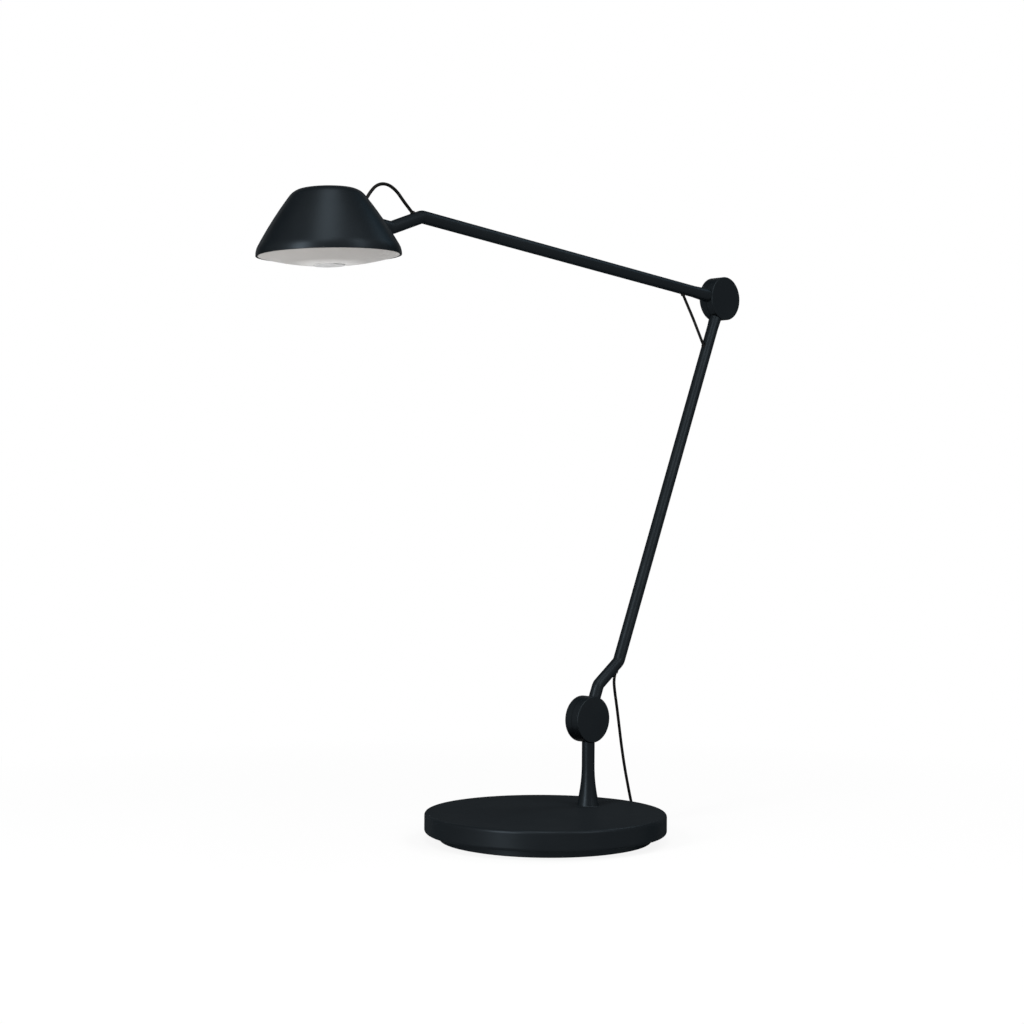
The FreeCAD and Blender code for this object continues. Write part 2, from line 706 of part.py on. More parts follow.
# Upper arm: rear end with a front half disc, tube, and a cranked front end with the hinge's eye
def make_upper_arm():
    neck = cone("upper_neck", "upper_neck_radius", "tube_radius", "upper_neck_length - (%s)" % NECK_START,
                "0", "0", NECK_START)
    plug = rod("upper_spigot", "tube_radius - tube_wall - spigot_play", "spigot_length",
               "0", "0", "upper_neck_length")
    room = swing_room("upper_swing_room", "0", "0", 1)
    rear = cut("upper_rear_necked", fuse("upper_rear_bar", neck, plug), room)
    settle("upper_arm_elbow_end", "upper_arm", fuse("upper_rear", rear, front_half("upper_disc", "0", "0")))

    pipe = ring("upper_pipe", "tube_radius", "tube_radius - tube_wall", UPPER_SEAM + " - upper_neck_length",
                "0", "0", "upper_neck_length")
    hole = seat("elbow_high_seat", "upper_arm", GATES["elbow_high"], size.tube_radius / 2)
    settle("upper_arm_tube", "upper_arm", cut("upper_pipe_holed", pipe, hole))

    bend = value(UPPER_BEND)
    crank = bent_tube("upper_crank_bar", [(0, value(UPPER_SEAM)), (0, bend),
                                          (-size.upper_offset, bend + size.upper_crank),
                                          (-size.upper_offset, size.upper_reach - size.hinge_stub_start)])
    plug = rod("upper_front_spigot", "tube_radius - tube_wall - spigot_play", "spigot_length",
               "0", "0", UPPER_SEAM + " - spigot_length")
    tongue = block("hinge_tongue", "hinge_tongue_height", "hinge_eye_width",
                   "hinge_stub_start + hinge_cheek_front", "-upper_offset", "0",
                   "upper_reach - hinge_stub_start - hinge_cheek_front")
    eye = rod("hinge_eye", "hinge_eye_radius", "hinge_eye_width", "-upper_offset", "-hinge_eye_width / 2",
              "upper_reach", "Y")
    hole = rod("hinge_eye_hole", "hinge_pin_radius + pin_play", "hinge_eye_width", "-upper_offset",
               "-hinge_eye_width / 2", "upper_reach", "Y")
    bore = rod("upper_bore", "cord_radius + cord_play", "upper_seam_gap + loop_gate_bend + spigot_length",
               "0", "0", UPPER_SEAM + " - spigot_length")
    front = cut("upper_front", fuse("upper_front_bar", crank, plug, tongue, eye), hole, bore,
                seat("loop_seat", "upper_arm", GATES["loop"]))
    settle("upper_arm_cranked_end", "upper_arm", front)
    bushes = [bush("elbow_high_bush", "upper_arm", GATES["elbow_high"], size.tube_radius / 2),
              bush("loop_bush", "upper_arm", GATES["loop"], size.loop_bush_depth)]
    settle("upper_arm_cord_bushes", "upper_arm", *bushes)


# Head: a spun shell with a slot for the arm, and the lamp inside it
def slot_room():
    """The space that the arm's end sweeps as the head tilts, with play all round."""
    hinge = Vector(size.head_hinge_back, 0, size.head_hinge_height)
    wide = size.tube_radius + size.slot_play
    length = size.shade_radius
    rest = size.head_tilt - size.upper_rise
    ways = []
    for angle in (rest - size.head_tilt_down, rest + size.head_tilt_up):
        ways.append(Vector(math.cos(math.radians(angle)), 0, math.sin(math.radians(angle))))
    low, high = (Part.makeCylinder(wide, length, hinge, way) for way in ways)
    corners = [hinge, hinge + ways[0] * length, hinge + ways[1] * length, hinge]
    across = Vector(0, wide, 0)
    wedge = Part.Face(Part.makePolygon([corner - across for corner in corners])).extrude(across * 2)
    return solid("slot_room", low.fuse(high).fuse(wedge))


def make_shade():
    shell = turned("shade_turning", [("0", "0"), ("shade_radius", "0"), ("shade_radius", "shade_rim_height"),
                                     ("shade_top_radius", "shade_height"), ("0", "shade_height")],
                   [(2, "shade_flank_radius", -1)])
    round_edges(shell, "shade_rounded_top", "shade_top_edge", circle_at("shade_top_radius", "shade_height"))
    round_edges(shell, "shade_rounded_rim", "shade_rim_edge", circle_at("shade_radius", "shade_rim_height"))
    tip = shell.Tip
    mouth = ["Face%d" % (i + 1) for i, face in enumerate(tip.Shape.Faces) if abs(face.CenterOfMass.z) < 0.01]
    hollow = shell.newObject("PartDesign::Thickness", "shade_hollow")
    hollow.Base = (tip, mouth)
    hollow.Reversed = True
    bind(hollow, Value="shade_wall")
    doc.recompute()
    hole = solid("head_gate_seat", gate_rod("head", GATES["head"], size.bush_radius, size.tube_radius,
                                            2 * size.bush_depth))
    settle("shade", "head", cut("shade_slotted", shell, slot_room(), hole))
    settle("head_cord_bush", "head", bush("head_bush", "head", GATES["head"], size.bush_depth))


def make_head_frame():
    plate = rod("head_plate_disc", "head_plate_radius", "head_plate_thickness",
                "0", "0", "head_plate_height")
    screw = ("stud_screw_radius", "stud_screw_length", "0", "0", "head_plate_height")
    screw_head = ("stud_screw_head", "stud_screw_head_height", "0", "0", "head_plate_height")
    settle("shade_stud", "head",
           cut("stud", rod("stud_bar", "stud_radius", "shade_height - shade_wall - (%s)" % PLATE_TOP,
                           "0", "0", PLATE_TOP), rod("stud_thread", *screw)))
    settle("stud_screw", "head", fuse("stud_screw_whole", rod("stud_screw_shank", *screw),
                                      rod("stud_screw_cap", *screw_head)))

    cheek_x = "head_hinge_back - hinge_cheek_length / 2 + hinge_cheek_front"
    inner = "hinge_eye_width / 2 + hinge_washer_thickness"
    base = block("clevis_foot", "clevis_base_length", "clevis_base_width", "clevis_base_thickness",
                 cheek_x, "0", PLATE_TOP)
    cheeks, washers, screws, holes = [], [], [], []
    for side, start in ((1, inner), (-1, "-(%s) - hinge_cheek_width" % inner)):
        cheeks.append(block("cheek_%d" % side, "hinge_cheek_length", "hinge_cheek_width",
                            "head_hinge_height - (%s)" % PLATE_TOP, cheek_x,
                            "%s + hinge_cheek_width / 2" % start, PLATE_TOP))
        cheeks.append(rod("cheek_eye_%d" % side, "hinge_eye_radius", "hinge_cheek_width",
                          "head_hinge_back", start, "head_hinge_height", "Y"))
        washer_start = "hinge_eye_width / 2" if side > 0 else "-" + inner.replace("+", "-")
        washers.append(ring("hinge_washer_%d" % side, "hinge_washer_radius", "hinge_pin_radius",
                            "hinge_washer_thickness", "head_hinge_back", washer_start,
                            "head_hinge_height", "Y"))
        spot = (cheek_x, "%d * clevis_screw_spread" % side)
        tip = "head_plate_height + head_plate_thickness / 4"
        shank = ("clevis_screw_radius", "%s + clevis_base_thickness - (%s)" % (PLATE_TOP, tip), *spot, tip)
        holes.append(shank)
        screw_cap = rod("clevis_cap_%d" % side, "clevis_screw_head", "clevis_screw_head_height",
                        *spot, PLATE_TOP + " + clevis_base_thickness")
        screws.append(fuse("clevis_screw_%d" % side, rod("clevis_shank_%d" % side, *shank), screw_cap))
    pin_hole = rod("cheek_hole", "hinge_pin_radius", "clevis_base_width", "head_hinge_back",
                   "-clevis_base_width / 2", "head_hinge_height", "Y")
    tools = [rod("clevis_hole_%d" % i, *hole) for i, hole in enumerate(holes)]
    settle("head_clevis", "head", cut("clevis", fuse("clevis_solid", base, *cheeks), pin_hole, *tools))
    tools = [rod("plate_hole_for_clevis_%d" % i, *hole) for i, hole in enumerate(holes)]
    settle("head_plate", "head", cut("head_plate_drilled", plate, rod("plate_hole_for_stud", *screw),
                                     rod("plate_sink_for_stud", *screw_head), *tools))
    settle("clevis_screws", "head", *screws)
    settle("hinge_washers", "head", *washers)
    outer = inner + " + hinge_cheek_width"
    pin = rod("pin_shank", "hinge_pin_radius", "2 * (%s) + hinge_pin_head_height" % outer, "head_hinge_back",
              "-(%s)" % outer, "head_hinge_height", "Y")
    head = rod("pin_head", "hinge_pin_head", "hinge_pin_head_height", "head_hinge_back",
               "-(%s) - hinge_pin_head_height" % outer, "head_hinge_height", "Y")
    settle("head_hinge_pin", "head", fuse("hinge_pin", pin, head))
    settle("head_hinge_nut", "head",
           ring("hinge_nut", "hinge_pin_head", "hinge_pin_radius", "hinge_pin_head_height",
                "head_hinge_back", outer, "head_hinge_height", "Y"))
    settle("cord_terminal", "head",
           block("terminal", "terminal_length", "terminal_width", "terminal_height",
                 "terminal_place", "0", PLATE_TOP))


def make_light():
    board_under = "head_plate_height - board_thickness"
    settle("light_board", "head", rod("board", "board_radius", "board_thickness", "0", "0", board_under))
    chips = []
    for i in range(int(SIZES["light_count"])):
        angle = 360 * i / SIZES["light_count"]
        chips.append(block("light_%d" % i, "light_width", "light_width", "light_height",
                           "light_circle * cos(%g)" % angle, "light_circle * sin(%g)" % angle,
                           board_under + " - light_height"))
    settle("light_chips", "head", *chips)
    settle("dimmer_switch", "head",
           block("switch", "switch_width", "switch_width", "switch_height",
                 "0", "0", board_under + " - switch_height"))

    # The opal diffuser is a shallow cap of a sphere with a skirt that meets the plate
    sphere = "(diffuser_radius ^ 2 + diffuser_drop ^ 2) / (2 * diffuser_drop)"
    inner_sphere = sphere + " - diffuser_wall"
    hole = "button_radius + button_play"
    skirt = "head_plate_radius - diffuser_skirt"

    def height(radius, ball):
        return "%s - diffuser_drop - sqrt((%s) ^ 2 - (%s) ^ 2)" % (sphere, ball, radius)

    dome = turned("diffuser_turning",
                  [(hole, height(hole, sphere)), ("diffuser_radius", "0"),
                   ("diffuser_radius", "diffuser_wall"), ("head_plate_radius", "diffuser_wall"),
                   ("head_plate_radius", "head_plate_height"),
                   (skirt, "head_plate_height"), (skirt, height(skirt, inner_sphere)),
                   (hole, height(hole, inner_sphere))],
                  [(0, sphere, -1), (6, inner_sphere, 1)])
    settle("diffuser", "head", dome)

    under = "-diffuser_drop - button_stand"
    lip = under + " + button_face"
    top = lip + " + button_lip_height"
    stem_top = board_under + " - switch_height - button_travel - button_rest"
    button = turned("button_turning",
                    [("0", under), ("button_radius", under), ("button_radius", lip),
                     ("button_radius + button_lip", lip), ("button_radius + button_lip", top),
                     ("button_stem", top), ("button_stem", stem_top), ("0", stem_top)])
    round_edges(button, "button_edge", "button_stand", circle_at("button_radius", under))
    settle("dimmer_button", "head", button)


# Cord: two runs held inside the arms, one in the head, two short loops across the
# joints, and the free cord down to the table, its coil and the plug-in driver
def gate_mouth(name, ahead=0.0):
    """Where the cord leaves a gate's bush, or a point straight ahead of it."""
    place_, outwards = GATES[name]
    return place_ + outwards * (size.bush_stand + ahead)


def keep_cord(label, points):
    keep(solid(label, tube_shape(label, points, size.cord_radius)), label)


# Points of the cord's way inside the head, in the head's frame
HEAD_INSIDE = [(22.0, 37.0), (15.5, 29.5), (13.5, 21.0)]


def inside_cords():
    low, high = into("lower_arm", gate_mouth("elbow_low")), into("lower_arm", GATES["elbow_low"][0])
    fall = (high - low).normalize()
    on_axis = low + fall * ((size.lower_offset - low.x) / fall.x)
    points = [gate_mouth("elbow_low"), out_of("lower_arm", on_axis.x, on_axis.z), gate_mouth("table")]
    keep_cord("cord_in_lower_arm", points)

    low, high = into("upper_arm", gate_mouth("elbow_high")), into("upper_arm", GATES["elbow_high"][0])
    rise = (high - low).normalize()
    on_axis = low + rise * (-low.x / rise.x)
    points = [gate_mouth("elbow_high"), out_of("upper_arm", 0, on_axis.z),
              out_of("upper_arm", 0, value(UPPER_BEND) + size.loop_gate_bend), gate_mouth("loop")]
    keep_cord("cord_in_upper_arm", points)

    wall, outwards = GATES["head"]
    points = [gate_mouth("head"), wall - outwards * size.head_cord_lead]
    points += [out_of("head", x, z) for x, z in HEAD_INSIDE]
    points.append(out_of("head", size.terminal_place, value(PLATE_TOP) + size.terminal_height))
    keep_cord("cord_in_head", points)


# Points of the free stretches, between the ends that the gates, the coil and the driver set
HEAD_LOOP = [(-174.5, 541.9), (-184.5, 546.2), (-194.5, 544.4), (-201.5, 537.8)]
TABLE_CORD = [
    (86.9, 0.0, 124.0), (89.4, 0.0, 112.5), (92.6, 0.0, 95.0), (96.0, 0.0, 76.0),
    (100.3, 0.0, 56.0), (106.0, 0.0, 35.0), (111.6, 0.2, 17.0), (118.5, 2.0, 4.8),
    (128.0, 7.0, 1.4), (138.5, 18.0, 1.4), (144.8, 31.0, 1.4), (146.0, 43.0, 1.4),
]
DRIVER_TAIL = [(129.0, 81.0, 12.0), (119.6, 82.4, 9.9)]


def free_cords():
    points = [gate_mouth("loop"), gate_mouth("loop", size.loop_lead)]
    points += [Vector(x, 0, z) for x, z in HEAD_LOOP]
    points += [gate_mouth("head", size.head_lead), gate_mouth("head")]
    keep_cord("cord_head_loop", points)

    high, low = gate_mouth("elbow_high"), gate_mouth("elbow_low")
    across = (low - high).cross(Vector(0, 1, 0)).normalize()
    sag = (high + low) / 2 + across * size.elbow_slack
    points = [high, gate_mouth("elbow_high", size.elbow_lead), sag,
              gate_mouth("elbow_low", size.elbow_lead), low]
    keep_cord("cord_elbow", points)

    coil_edges, coil_line = coil_route()
    start, end = coil_line[0], coil_line[-1]
    points = [gate_mouth("table"), gate_mouth("table", size.table_lead)]
    points += [Vector(*point) for point in TABLE_CORD] + [start]
    keep_cord("cord_to_table", points)

    coil = swept(Part.Wire(coil_edges), size.cord_radius)
    length = sum(edge.Length for edge in coil_edges)
    share = coil.Volume / (math.pi * size.cord_radius ** 2 * length)
    facts = (length, share, least_gap(coil_edges))
    print("coil: %.1f mm long, volume share %.4f, least gap %.2f mm" % facts)
    keep(solid("cord_coil", coil), "cord_coil")

    points = [end] + [Vector(*point) for point in DRIVER_TAIL]
    for ahead in (size.driver_lead, 0):
        points.append(in_driver(-size.relief_length - ahead, 0, size.driver_height / 2))
    keep_cord("cord_to_driver", points)


def coil_point(turn):
    """A point of the coil after a number of turns: the layers spiral in and out in
    turn, and each climb to the next layer takes half a turn at a steady radius."""
    step = size.coil_turns + 0.5
    layer = min(int(turn / step), int(size.coil_layers) - 1)
    done = turn - layer * step
    travel = min(done, size.coil_turns) * size.coil_pitch
    inner = size.coil_outer - size.coil_turns * size.coil_pitch
    radius = size.coil_outer - travel if layer % 2 == 0 else inner + travel
    climb = max(0.0, done - size.coil_turns) / 0.5
    height = size.coil_lift + size.coil_pitch * (layer + (1 - math.cos(math.pi * climb)) / 2)
    angle = 2 * math.pi * turn
    return Vector(size.coil_x + radius * math.cos(angle), size.coil_y + radius * math.sin(angle), height)


def coil_route():
    """Arcs of about a quarter turn along the coil, two for each stretch."""
    step = size.coil_turns + 0.5
    stops = [0.0]
    for layer in range(int(size.coil_layers)):
        stretches = round(size.coil_turns * 4)
        stops += [layer * step + size.coil_turns * (i + 1) / stretches for i in range(stretches)]
        if layer < size.coil_layers - 1:
            stops += [layer * step + size.coil_turns + 0.25, (layer + 1) * step]
    line = [coil_point(stop) for stop in stops]
    edges = []
    small = 0.0001
    ways = []
    for stop in stops:
        before, after = max(stop - small, stops[0]), min(stop + small, stops[-1])
        ways.append((coil_point(after) - coil_point(before)).normalize())
    ways[0].z = 0
    for start, way, end, end_way in zip(line, ways, line[1:], ways[1:]):
        edges += biarc(start, way, end, end_way)
    return edges, line


def biarc(start, way, end, end_way):
    """Two arcs that leave start along one direction and reach end along another."""
    across = end - start
    a = 2 * (way.dot(end_way) - 1)
    b = -2 * across.dot(way + end_way)
    c = across.dot(across)
    reach = (-b - math.sqrt(b * b - 4 * a * c)) / (2 * a)
    first, second = start + way * reach, end - end_way * reach
    middle = (first + second) / 2
    return [arc_edge(start, first, middle), arc_edge(middle, second, end)]


def least_gap(edges):
    """The least free space between one turn and another, measured on points 1 mm apart."""
    points, along, travelled = [], [], 0.0
    for edge in edges:
        for point in edge.discretize(max(3, int(edge.Length) + 1))[:-1]:
            points.append(point)
        travelled += edge.Length
    skip = int(size.coil_outer)
    gap = travelled
    for i, point in enumerate(points):
        for other in points[i + skip:]:
            gap = min(gap, (point - other).Length)
    return gap - 2 * size.cord_radius


# Plug-in driver at the far end of the cord, lying flat behind the base
def in_driver(x, y, z):
    turn = math.radians(size.driver_turn)
    return Vector(size.driver_x + x * math.cos(turn) - y * math.sin(turn),
                  size.driver_y + x * math.sin(turn) + y * math.cos(turn), z)


def rounded_box(length, width, height, edge, lift):
    """A box along +X with its upright and outer edges rounded."""
    box = Part.makeBox(length, width, height, Vector(0, -width / 2, lift))
    middle = lift + height / 2
    wanted = []
    for line in box.Edges:
        tall = abs(line.CenterOfMass.z - middle) < 0.01
        if tall or (line.CenterOfMass.z > middle) == (lift > 0):
            wanted.append(line)
    return box.makeFillet(edge, wanted)


def half_case(name, lift, height):
    wall = size.driver_wall
    outer = rounded_box(size.driver_length, size.driver_width, height, size.driver_edge, lift)
    floor = 0 if lift > 0 else wall
    hollow = Part.makeBox(size.driver_length - 2 * wall, size.driver_width - 2 * wall, height - wall,
                          Vector(wall, wall - size.driver_width / 2, lift + floor))
    return solid(name, outer.cut(hollow))


def settle_driver(label, *shapes):
    piece = group(label, *shapes)
    place(piece, "driver_x", "driver_y", "0", "driver_turn", Vector(0, 0, 1))
    keep(piece, label)


def make_driver():
    settle_driver("driver_tray", half_case("tray_shell", 0, size.driver_split))
    cover_height = size.driver_height - size.driver_split
    settle_driver("driver_cover", half_case("cover_shell", size.driver_split, cover_height))
    board = block("driver_board_plate", "driver_length - 2 * driver_wall - 2 * pin_play",
                  "driver_width - 2 * driver_wall - 2 * pin_play",
                  "driver_board_thickness", "driver_length / 2", "0", "driver_wall")
    core = block("driver_core", "driver_length / 2", "driver_width / 2",
                 "driver_height - 2 * driver_wall - driver_board_thickness - driver_edge",
                 "driver_length / 2", "0", "driver_wall + driver_board_thickness")
    settle_driver("driver_board", fuse("driver_board_whole", board, core))
    pins = []
    for side in (1, -1):
        pins.append(rod("driver_pin_%d" % side, "pin_radius", "pin_length", "driver_length",
                        "%d * pin_spacing / 2" % side, "driver_height / 2", "X"))
    settle_driver("driver_pins", *pins)
    relief = bind(doc.addObject("Part::Cone", "relief_cone"), Radius1="cord_radius + cord_play",
                  Radius2="relief_radius", Height="relief_length")
    place(relief, "-relief_length", "0", "driver_height / 2", "90", Vector(0, 1, 0))
    settle_driver("driver_strain_relief", relief)


make_base()
make_post()
make_lower_arm()
make_upper_arm()
joint_hardware("lower_joint", "lower_arm", "base", ("0", "0"), ("post_place", "lower_joint_height"))
joint_hardware("elbow", "upper_arm", "lower_arm", ("0", "0"), ("lower_offset", "lower_reach"))
make_shade()
make_head_frame()
make_light()
inside_cords()
free_cords()
make_driver()
doc.recompute()

# Every object and every finished piece is checked before anything is written
for obj in doc.Objects:
    if "Invalid" in obj.State or "Error" in obj.State:
        raise RuntimeError("%s failed: %s" % (obj.Name, obj.State))
labels = [piece.Label for piece in parts]
if len(set(labels)) != len(labels):
    raise RuntimeError("two pieces share a label")
for piece in parts:
    if piece.Shape.isNull() or not piece.Shape.isValid() or not piece.Shape.Solids:
        raise RuntimeError("%s has no valid solid" % piece.Label)
for piece in parts:
    piece.Shape.exportStep("parts/%s.step" % piece.Label)
    print("%-24s %d solid(s), %9.1f mm3" % (piece.Label, len(piece.Shape.Solids), piece.Shape.Volume))
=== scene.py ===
# Desk lamp on friction discs: finishes, cords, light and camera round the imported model.
# Metres throughout. The lamp stands on Z = 0, its arms lie in the plane Y = 0, its head reaches to -X.
import bpy
import bmesh
import math
from mathutils import Matrix, Vector


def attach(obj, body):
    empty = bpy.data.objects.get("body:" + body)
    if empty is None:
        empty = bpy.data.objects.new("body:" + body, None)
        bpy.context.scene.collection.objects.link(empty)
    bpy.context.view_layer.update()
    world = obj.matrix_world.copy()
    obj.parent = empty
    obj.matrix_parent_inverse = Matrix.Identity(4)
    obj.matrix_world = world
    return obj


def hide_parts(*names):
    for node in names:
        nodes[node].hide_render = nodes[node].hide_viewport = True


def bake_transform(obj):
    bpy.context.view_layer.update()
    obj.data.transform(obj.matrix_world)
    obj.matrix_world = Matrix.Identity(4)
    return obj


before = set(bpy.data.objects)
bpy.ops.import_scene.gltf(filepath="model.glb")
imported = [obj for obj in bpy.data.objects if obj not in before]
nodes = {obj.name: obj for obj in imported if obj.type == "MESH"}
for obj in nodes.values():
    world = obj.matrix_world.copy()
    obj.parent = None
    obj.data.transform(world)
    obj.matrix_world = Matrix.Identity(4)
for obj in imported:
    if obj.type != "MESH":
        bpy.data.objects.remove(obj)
bpy.context.scene.view_settings.view_transform = "Standard"
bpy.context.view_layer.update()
print("frame loaded:", len(nodes), "nodes")

# Camera
cameraView = {
    "place": (-1.17823, -1.17740, 0.27669),
    "azimuth": -43.96,  # degrees, 0 looks along +Y
    "fall": -0.26,  # degrees that the view points down
    "roll": 0.39,  # degrees
    "focal": 67.49,  # mm
    "sensor": 36.0,
}


def makeCamera(facts):
    azimuth, fall, roll = (math.radians(facts[name]) for name in ("azimuth", "fall", "roll"))
    ahead = Vector((-math.sin(azimuth), math.cos(azimuth), 0))
    forward = ahead * math.cos(fall) - Vector((0, 0, math.sin(fall)))
    level = Vector((math.cos(azimuth), math.sin(azimuth), 0))
    upright = level.cross(forward)
    right = level * math.cos(roll) + upright * math.sin(roll)
    up = right.cross(forward)
    lens = bpy.data.cameras.new("camera")
    lens.lens = facts["focal"]
    lens.sensor_width = facts["sensor"]
    camera = bpy.data.objects.new("camera", lens)
    aim = Matrix((right, up, -forward)).transposed().to_4x4()
    camera.matrix_world = Matrix.Translation(facts["place"]) @ aim
    bpy.context.scene.collection.objects.link(camera)
    bpy.context.scene.camera = camera


makeCamera(cameraView)
print("camera placed")


# A signal wraps a node's socket, so that an expression on signals adds the Math nodes
class Signal:
    def __init__(self, wiring, socket):
        self.wiring = wiring
        self.socket = socket

    def __add__(self, other):
        return self.wiring.maths("ADD", self, other)

    def __sub__(self, other):
        return self.wiring.maths("SUBTRACT", self, other)

    def __mul__(self, other):
        return self.wiring.maths("MULTIPLY", self, other)

    def __truediv__(self, other):
        return self.wiring.maths("DIVIDE", self, other)

    def __radd__(self, other):
        return self.wiring.maths("ADD", other, self)

    def __rsub__(self, other):
        return self.wiring.maths("SUBTRACT", other, self)

    def __rmul__(self, other):
        return self.wiring.maths("MULTIPLY", other, self)

    def __rtruediv__(self, other):
        return self.wiring.maths("DIVIDE", other, self)


# A node tree, and the one way that nodes get into it
class Wiring:
    def __init__(self, tree):
        self.tree = tree
        self.tree.nodes.clear()

    def give(self, socket, given):
        if isinstance(given, Signal):
            self.tree.links.new(given.socket, socket)
        else:
            socket.default_value = given

    def add(self, kind, settings=None, sockets=None, out=0):
        node = self.tree.nodes.new(kind)
        for name, setting in (settings or {}).items():
            if name == "stops":
                self.rampStops(node.color_ramp.elements, setting)
            else:
                setattr(node, name, setting)
        for name, given in (sockets or {}).items():
            self.give(node.inputs[name], given)
        return Signal(self, node.outputs[out]) if node.outputs else node

    def rampStops(self, elements, stops):
        while len(elements) < len(stops):
            elements.new(1.0)
        for element, (place, level) in zip(elements, stops):
            element.position = place
            element.color = (level, level, level, 1)

    def maths(self, operation, first, second):
        return self.add("ShaderNodeMath", {"operation": operation}, {0: first, 1: second})

    def place(self):
        return self.add("ShaderNodeTexCoord", out="Object")

    def length(self, vector):
        return self.add("ShaderNodeVectorMath", {"operation": "LENGTH"}, {0: vector}, "Value")

    def noise(self, scale, detail=3.0):
        sockets = {"Vector": self.place(), "Scale": scale, "Detail": detail}
        return self.add("ShaderNodeTexNoise", {"noise_dimensions": "3D"}, sockets)

    def ramp(self, value, stops):
        return self.add("ShaderNodeValToRGB", {"stops": stops}, {0: value})

    def mix(self, share, first, second):
        sockets = {0: share, 6: (*first, 1), 7: (*second, 1)}  # 6 and 7 are the mixed colours
        return self.add("ShaderNodeMix", {"data_type": "RGBA"}, sockets, 2)


# One material, with the sockets that have one value all over
class Finish(Wiring):
    def __init__(self, name, fixed=None):
        self.material = bpy.data.materials.new(name)
        self.material.use_nodes = True
        super().__init__(self.material.node_tree)
        surface = self.add("ShaderNodeBsdfPrincipled", {}, fixed)
        self.surface = surface.socket.node
        self.output = self.add("ShaderNodeOutputMaterial", {}, {0: surface})

    def set(self, socket, given):
        self.give(self.surface.inputs[socket], given)

    def gloss(self, span, scale, detail=3.0):
        low, high = span
        self.set("Roughness", low + (high - low) * self.noise(scale, detail))

    def bumps(self, scale, depth, detail=2.0):
        sockets = {"Height": self.noise(scale, detail), "Distance": depth}
        self.set("Normal", self.add("ShaderNodeBump", {}, sockets))


# Every finish varies a little in tone and gloss, and has its own fine bumps
mottle = {
    "stops": [(0.35, 0), (0.65, 1)],
    "finer": 3.7,  # the gloss varies over smaller patches than the tone
    "glossDetail": 4.0,
}


def mottled(finish, tones, patches, gloss, bumps, depth):
    share = finish.ramp(finish.noise(patches), mottle["stops"])
    finish.set("Base Color", finish.mix(share, *tones))
    finish.gloss(gloss, patches * mottle["finer"], mottle["glossDetail"])
    finish.bumps(bumps, depth)
    return finish.material


coat = {
    "tones": [(0.0098, 0.0122, 0.0143), (0.0112, 0.0138, 0.0159)],
    "patches": 22.0,  # per metre
    "gloss": (0.35, 0.41),
    "bumps": 1500.0,  # per metre, the coat's orange peel
    "depth": 0.000012,
    "edge": 0.43,  # tint of the flakes' shine towards grazing views
    # share of fine metal flakes in the coat, by view: 0 is straight on, 1 is along the surface
    "flakes": [(0.72, 0.8), (0.90, 0.05)],
    "baseFlakes": [(0.40, 0.8), (0.80, 0.03)],
}


def powderCoat(name, facts, flakes):
    edge = (facts["edge"], facts["edge"], facts["edge"], 1)
    finish = Finish(name, {"Specular IOR Level": 0.0, "Specular Tint": edge})
    facing = finish.add("ShaderNodeLayerWeight", out="Facing")
    finish.set("Metallic", finish.ramp(facing, flakes))
    return mottled(finish, facts["tones"], facts["patches"], facts["gloss"], facts["bumps"], facts["depth"])


def plain(name, tones, patches, gloss, bumps, depth, fixed=None):
    return mottled(Finish(name, fixed), tones, patches, gloss, bumps, depth)


def greys(dark, light, warmth=1.0):
    return [(level * warmth, level, level / warmth) for level in (dark, light)]


# Black plastic, rubber and cord stay dark where they are seen at a grazing angle
quiet = {"Metallic": 0.5, "Specular IOR Level": 0.0, "Specular Tint": (0.1, 0.1, 0.1, 1)}
metal = {"Metallic": 1.0}

# Patches and bumps are counted per metre
finishes = {
    "coat": powderCoat("satin_black_powder_coat", coat, coat["flakes"]),
    "baseCoat": powderCoat("satin_black_base_coat", coat, coat["baseFlakes"]),
    "rubber": plain("black_rubber", greys(0.010, 0.016), patches=60, gloss=(0.62, 0.78),
                    bumps=3200, depth=0.00002, fixed=quiet),
    "cord": plain("black_cord_jacket", greys(0.009, 0.013), patches=90, gloss=(0.48, 0.6),
                  bumps=2600, depth=0.00001, fixed=quiet),
    "plastic": plain("black_textured_plastic", greys(0.012, 0.017), patches=40, gloss=(0.5, 0.62),
                     bumps=2400, depth=0.00003, fixed=quiet),
    "steel": plain("bare_steel", greys(0.42, 0.55), patches=120, gloss=(0.28, 0.42),
                   bumps=1800, depth=0.00001, fixed=metal),
    "aluminium": plain("bare_aluminium", greys(0.6, 0.7), patches=80, gloss=(0.34, 0.48),
                       bumps=1500, depth=0.00001, fixed=metal),
    "washer": plain("friction_washer", [(0.48, 0.44, 0.34), (0.56, 0.52, 0.42)], patches=200,
                    gloss=(0.5, 0.6), bumps=1800, depth=0.00001),
    "board": plain("white_board", greys(0.7, 0.78), patches=60, gloss=(0.3, 0.4),
                   bumps=900, depth=0.00001),
    "chip": plain("light_chip", [(0.75, 0.56, 0.10), (0.86, 0.68, 0.18)], patches=400,
                  gloss=(0.2, 0.3), bumps=1500, depth=0.00001),
    "terminal": plain("white_terminal", greys(0.66, 0.74, warmth=1.02), patches=150, gloss=(0.4, 0.5),
                      bumps=1500, depth=0.00001),
    "dark": plain("dark_switch", greys(0.02, 0.03), patches=200, gloss=(0.4, 0.5),
                  bumps=1500, depth=0.00001),
    "circuit": plain("green_circuit", [(0.02, 0.12, 0.05), (0.03, 0.16, 0.07)], patches=150,
                     gloss=(0.3, 0.45), bumps=900, depth=0.00002),
    "button": plain("grey_button", greys(0.44, 0.47), patches=200, gloss=(0.4, 0.48),
                    bumps=1800, depth=0.00001),
}

